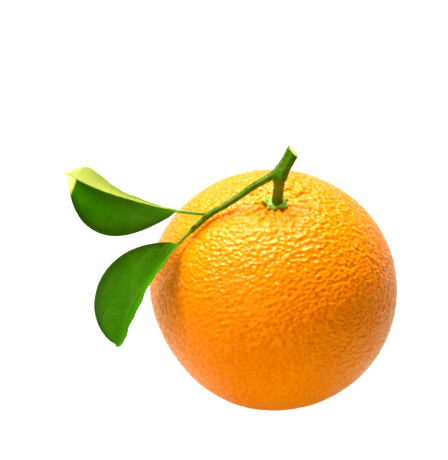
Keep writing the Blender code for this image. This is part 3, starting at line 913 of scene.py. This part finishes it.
BLADE_STEPS = 150
PETIOLE_STEPS = 26
HALF_STEPS = 26
SKIN_THICKNESS = 0.30 * MM
EDGE_THICKNESS = 0.16 * MM
FOLD_ROUNDING = 0.9 * MM
VEIN_PAIRS = 10
VEIN_WIDTH = 0.0085  # as a share of the blade's length
VEIN_GROOVE = 0.06 * MM
VEIN_RIDGE = 0.07 * MM
MIDRIB_GROOVE = 0.16 * MM
MIDRIB_WIDTH = 0.42 * MM
PUFF_HEIGHT = 0.05 * MM
PUFF_SIZE = 2.6 * MM
RING_SPREAD = 0.96
PETIOLE_SINK = 0.9 * MM  # how far the visible petiole reaches back into the twig
FOLD_SHADE_REACH = 4.5 * MM
MARGIN_START, MARGIN_BREADTH = 0.48, 0.42  # the painted shade along the broad half's margin, as shares of a half's width
HIGHLIGHT_MIDDLE, HIGHLIGHT_BREADTH = 0.10, 0.20  # the painted highlight streaks at the blade's base, as shares of the blade's length
# where the painted glow at the upper leaf's tip begins and how fast it comes in, as shares of the
# blade's length
GLOW_TIP_START, GLOW_TIP_BREADTH = 0.885, 0.03


def upper_petiole_start():
    points = twig_points()
    at = UPPER_LEAF_NODE + 1
    way = leaf_heading(UPPER_LEAF, 0.0)
    return stand_off(
        points[at], way, PETIOLE_DIAMETER / 2, smooth_route(points, 4), twig_diameter(at) / 2
    )


def lower_petiole_start():
    points = twig_points()
    way = (points[-1] - points[-2]).normalized()
    lean = leaf_heading(LOWER_LEAF, 0.0)
    tilt = sqrt(max(0.0, 1 - way.dot(lean) ** 2))
    return points[-1] + way * (GAP + PETIOLE_DIAMETER / 2 * tilt)


def leaf_heading(spec, share):
    ways = [way.normalized() for way in spec["headings"]]
    place = min(max(share, 0.0), 1.0) * (len(ways) - 1)
    at = min(int(place), len(ways) - 2)
    return ways[at].lerp(ways[at + 1], place - at).normalized()


def smooth_heading(spec, share):
    """The heading, averaged over a short stretch so that the midrib has no kinks."""
    near = [leaf_heading(spec, share + step * 0.03) for step in range(-4, 5)]
    return sum(near, Vector()).normalized()


def blade_half_width(spec, share):
    peak = spec["widest_at"]
    base = spec["base_fullness"]
    tip = base * (1 - peak) / peak
    if share <= 0 or share >= 1:
        return 0.0
    return spec["half_width"] * (share / peak) ** base * ((1 - share) / (1 - peak)) ** tip


def leaf_midrib(spec, start):
    """Distance past the blade's base, point and heading, from inside the twig to the tip."""
    whole = spec["petiole"] + spec["blade"]
    back = PETIOLE_SINK
    stations = [-spec["petiole"] * (1 - i / PETIOLE_STEPS) for i in range(PETIOLE_STEPS)]
    stations += [spec["blade"] * i / BLADE_STEPS for i in range(BLADE_STEPS + 1)]
    first = leaf_heading(spec, 0.0)
    midrib = [(stations[0] - back, start - first * back, first)]
    point, before = start.copy(), stations[0]
    for station in stations:
        halfway = (station + before) / 2
        step = leaf_heading(spec, (halfway + spec["petiole"]) / whole) * (station - before)
        point = point + step
        heading = smooth_heading(spec, (station + spec["petiole"]) / whole)
        midrib.append((station, point.copy(), heading))
        before = station
    return midrib


def vein_strength(share, across):
    """How near a place on the blade is to one of the side veins, from 0 to 1."""
    part = abs(across)
    phase = (share - 0.20 * part + 0.045 * part * part) * VEIN_PAIRS
    phase += 0.25 if across > 0 else 0.0
    off = abs(phase - round(phase)) / VEIN_PAIRS
    fade = max(0.0, 1 - part**3) * min(1.0, 5 * share) * min(1.0, 4 * (1 - share))
    return exp(-((off / VEIN_WIDTH) ** 2)) * fade


def leaf_ring(spec, station, point, heading):
    """One closed ring of points round the leaf, with the looks at each point."""
    share = station / spec["blade"]
    width = max(PETIOLE_DIAMETER / 2, blade_half_width(spec, share))
    flatness = min(1.0, max(0.0, (width - PETIOLE_DIAMETER / 2) / (PETIOLE_DIAMETER * 2)))
    flatness = flatness * flatness * (3 - 2 * flatness)
    twist = Matrix.Rotation(spec["twist"] * max(0.0, share) ** TWIST_SHARPNESS, 3, heading)
    broad = twist @ (spec["broad_half"] - heading * spec["broad_half"].dot(heading)).normalized()
    halves = [broad, Matrix.Rotation(spec["fold"], 3, heading) @ broad]
    normals = [heading.cross(halves[0]), halves[1].cross(heading)]
    if normals[0].dot(halves[1]) < 0:
        normals = [-normals[0], -normals[1]]
    middle_normal = (normals[0] + normals[1]).normalized()
    across = middle_normal.cross(heading).normalized()
    if across.dot(halves[0]) < 0:
        across = -across
    rising, sideways = halves[0].dot(middle_normal), halves[0].dot(across)
    rib = PETIOLE_DIAMETER / 2 * max(0.12, 1 - share * 0.95)
    upper, lower = [], []
    for step in range(-HALF_STEPS, HALF_STEPS + 1):
        signed = step / HALF_STEPS
        part = abs(signed)
        away = part * width
        which = 0 if step > 0 else 1
        tilt = sqrt(away * away + FOLD_ROUNDING**2)
        normal = (normals[which] * away + middle_normal * FOLD_ROUNDING * 0.5).normalized()
        flat = point + across * (sideways * signed * width)
        flat += middle_normal * (rising * (tilt - FOLD_ROUNDING))
        bow = spec["curl"] * away * away / spec["half_width"]
        wave = sin(2 * pi * (share * 3.1 + 0.3 * which) + spec["seed"]) * part**2
        wave += 0.6 * sin(2 * pi * (share * 6.7 + 0.2 * which) + 1.0) * part**3
        fade = min(1.0, 6 * max(0.0, share)) * min(1.0, 5 * max(0.0, 1 - share))
        flat += normal * (wave * spec["wave"] * fade - bow)
        vein = vein_strength(share, signed) if share > 0 else 0.0
        midrib = exp(-((away / MIDRIB_WIDTH) ** 2))
        puff = grain((share * 40 * MM, signed * 13 * MM, which), PUFF_SIZE, spec["seed"])
        half_thick = (SKIN_THICKNESS * (1 - part) + EDGE_THICKNESS * part) / 2
        relief_up = -VEIN_GROOVE * vein + PUFF_HEIGHT * puff * fade - MIDRIB_GROOVE * midrib
        relief_down = VEIN_RIDGE * vein - 0.6 * PUFF_HEIGHT * puff * fade
        relief_down += rib * exp(-((away / (rib * 1.15)) ** 2))
        angle = pi / 2 * RING_SPREAD * signed
        edge = max(0.0, (part - 0.93) / 0.07) * min(1.0, 8 * max(0.0, share))
        start = min(1.0, max(0.0, share / 0.12))
        along = min(1.0, max(0.0, (share - 0.08) / 0.35))
        # painted shadow along the fold and painted shade towards the margin, on the broad half
        # only
        painted_shade = exp(-((away / FOLD_SHADE_REACH) ** 2)) * spec["painted_glow_half"] * along
        margin = min(1.0, max(0.0, (part - MARGIN_START) / MARGIN_BREADTH)) ** 1.3
        painted_shade = (1 - which) * start * min(1.0, painted_shade + margin)
        # where the painted highlight streaks at the base are strongest
        base_highlight = exp(-(((share - HIGHLIGHT_MIDDLE) / HIGHLIGHT_BREADTH) ** 2)) if share > 0 else 0.0
        # painted glow on the standing half of the upper leaf and at its tip
        painted_glow = which * (1 - 0.6 * part) * start * min(1.0, away / (0.5 * MM))
        tip = (share + 0.03 * part - GLOW_TIP_START) / GLOW_TIP_BREADTH
        tip = min(1.0, max(0.0, tip))
        painted_glow = spec["painted_glow_half"] * max(painted_glow, 0.9 * tip)
        look = (max(vein * 0.8, midrib) if share > 0 else 0.6, edge, painted_shade, painted_glow, base_highlight)
        spot = (station, signed * width, 0.002 * which)
        thick_up, thick_down = half_thick + relief_up, half_thick + relief_down
        for side, ring, thick in ((1, upper, thick_up), (-1, lower, thick_down)):
            turned = across * sin(angle) + middle_normal * cos(angle) * side
            round_point = point + turned * PETIOLE_DIAMETER / 2
            blade_point = flat + normal * thick * side
            face = 1.0 if side > 0 and share > 0 else 0.0
            ring.append((round_point.lerp(blade_point, flatness), face, look, spot))
    return upper + lower[::-1]


def make_leaf(name, node, spec, start, material):
    rings = [leaf_ring(spec, *spot) for spot in leaf_midrib(spec, start)]
    size = len(rings[0])
    flat = [entry for ring in rings for entry in ring]
    faces = ring_faces(len(rings), size)
    faces.append(tuple(range(size))[::-1])
    faces.append(tuple(range((len(rings) - 1) * size, len(rings) * size)))
    floats = {
        "leaf_upper": [entry[1] for entry in flat],
        "leaf_vein": [entry[2][0] for entry in flat],
        "leaf_edge": [entry[2][1] for entry in flat],
        "leaf_painted_shade": [entry[2][2] for entry in flat],
        "leaf_painted_glow": [entry[2][3] for entry in flat],
        "leaf_base_highlight": [entry[2][4] for entry in flat],
    }
    vectors = {"leaf_at": [entry[3] for entry in flat]}
    points = [entry[0] for entry in flat]
    return add_mesh(name, points, faces, material, node, floats, vectors)


def face_outwards(piece):
    """Turns a closed piece's faces outwards, by the sign of its volume."""
    mesh = piece.data
    co = np.empty(len(mesh.vertices) * 3)
    mesh.vertices.foreach_get("co", co)
    co = co.reshape(-1, 3)
    volume = 0.0
    for polygon in mesh.polygons:
        ring = co[list(polygon.vertices)]
        fan = np.cross(ring[1:-1], ring[2:])
        volume += float((fan @ ring[0]).sum())
    if volume < 0:
        mesh.flip_normals()


# ---- Stage ----

DOME_START = 0.0  # cosine of the angle from its middle where the dome's bright side begins
DOME_DARK = 0.03
DOME_BRIGHT = 1.72
DOME_WAY = (-0.57, -0.82, 0.00)
KEY = {"way": (-0.26, 0.36, 0.90), "distance": 0.90, "size": (0.70, 0.22), "power": 15.0}
BACK = {"way": (-0.06, 0.68, 0.72), "distance": 1.10, "size": (1.30, 0.30), "power": 20.0}
CAMERA_DISTANCE = 0.580
CAMERA_ELEVATION = radians(41)
CAMERA_FORWARD = Vector((-0.028, 0.775, -0.631)).normalized()
LENS_MM = 141.2
SENSOR_MM = 36.0
BLUE_TOE = 0.022
BLUE_CONTRAST = 1.15


def make_floor():
    mesh = bpy.data.meshes.new("floor")
    side = 4.0
    corners = [(-side, -side, 0), (side, -side, 0), (side, side, 0), (-side, side, 0)]
    mesh.from_pydata(corners, [], [(0, 1, 2, 3)])
    mesh.materials.append(floor_material())
    floor = bpy.data.objects.new("floor", mesh)
    bpy.context.scene.collection.objects.link(floor)


def make_light(name, way, distance, size, power):
    """A soft panel on the side given by way, turned towards the fruit's middle."""
    light = bpy.data.lights.new(name, "AREA")
    light.shape = "RECTANGLE"
    light.size, light.size_y = size
    light.energy = power
    lamp = bpy.data.objects.new(name, light)
    bpy.context.scene.collection.objects.link(lamp)
    aim = Vector((0, 0, MIDDLE_HEIGHT))
    lamp.location = aim + Vector(way).normalized() * distance
    lamp.rotation_euler = (lamp.location - aim).to_track_quat("Z", "Y").to_euler()


def make_world():
    """A dark studio with one soft bright side in front. What shows behind the floor is white."""
    world = bpy.data.worlds.new("studio")
    world.use_nodes = True
    tree = world.node_tree
    dome = tree.nodes["Background"]
    place = tree.nodes.new("ShaderNodeTexCoord")
    facing = tree.nodes.new("ShaderNodeVectorMath")
    facing.operation = "DOT_PRODUCT"
    facing.inputs[1].default_value = Vector(DOME_WAY).normalized()
    tree.links.new(place.outputs["Generated"], facing.inputs[0])
    fit = tree.nodes.new("ShaderNodeMapRange")
    fit.inputs["From Min"].default_value = DOME_START
    fit.inputs["From Max"].default_value = 1.0
    fit.inputs["To Min"].default_value = DOME_DARK
    fit.inputs["To Max"].default_value = DOME_BRIGHT
    tree.links.new(facing.outputs["Value"], fit.inputs["Value"])
    tree.links.new(fit.outputs[0], dome.inputs["Strength"])
    dome.inputs["Color"].default_value = (1.0, 1.0, 1.0, 1.0)
    behind = tree.nodes.new("ShaderNodeBackground")
    behind.inputs["Color"].default_value = (1.0, 1.0, 1.0, 1.0)
    behind.inputs["Strength"].default_value = 1.0
    path = tree.nodes.new("ShaderNodeLightPath")
    both = tree.nodes.new("ShaderNodeMixShader")
    tree.links.new(path.outputs["Is Camera Ray"], both.inputs[0])
    tree.links.new(dome.outputs[0], both.inputs[1])
    tree.links.new(behind.outputs[0], both.inputs[2])
    tree.links.new(both.outputs[0], tree.nodes["World Output"].inputs["Surface"])
    bpy.context.scene.world = world


def make_camera():
    """A long lens that looks down on the fruit, a little to one side of its middle."""
    data = bpy.data.cameras.new("camera")
    data.lens = LENS_MM
    data.sensor_width = SENSOR_MM
    data.clip_end = 20.0
    camera = bpy.data.objects.new("camera", data)
    bpy.context.scene.collection.objects.link(camera)
    back = CAMERA_DISTANCE * cos(CAMERA_ELEVATION)
    rise = CAMERA_DISTANCE * sin(CAMERA_ELEVATION)
    camera.location = (0.0, -back, MIDDLE_HEIGHT + rise)
    right = CAMERA_FORWARD.cross(Vector((0, 0, 1))).normalized()
    up = right.cross(CAMERA_FORWARD)
    turn = Matrix((right, up, -CAMERA_FORWARD)).transposed()
    camera.rotation_euler = turn.to_euler()
    bpy.context.scene.camera = camera


def deepen_colours(view):
    """Holds back weak blue, as a saturated studio print does. Full white stays white."""
    view.use_curve_mapping = True
    blue = view.curve_mapping.curves[2]
    for share in (0.0, 0.04, 0.10, 0.20, 0.40, 0.70):
        blue.points.new(BLUE_TOE + (1 - BLUE_TOE) * share, share**BLUE_CONTRAST)
    view.curve_mapping.update()


def build():
    peel = peel_material()
    bark = bark_material()
    leaf = leaf_material()
    make_fruit(peel)
    pieces = [
        make_calyx(calyx_material()),
        make_stem(bark),
        make_twig(bark),
        make_bud("orange_upper_bud", "upper_bud", upper_bud_pose(), bark),
        make_bud("orange_lower_bud", "lower_bud", lower_bud_pose(), bark),
        make_leaf("orange_upper_leaf", "upper_leaf", UPPER_LEAF, upper_petiole_start(), leaf),
        make_leaf("orange_lower_leaf", "lower_leaf", LOWER_LEAF, lower_petiole_start(), leaf),
    ]
    for piece in pieces:
        face_outwards(piece)
    make_floor()
    make_light("key", **KEY)
    make_light("back", **BACK)
    make_world()
    make_camera()
    scene = bpy.context.scene
    scene.view_settings.view_transform = "Standard"
    scene.view_settings.look = "None"
    deepen_colours(scene.view_settings)


build()

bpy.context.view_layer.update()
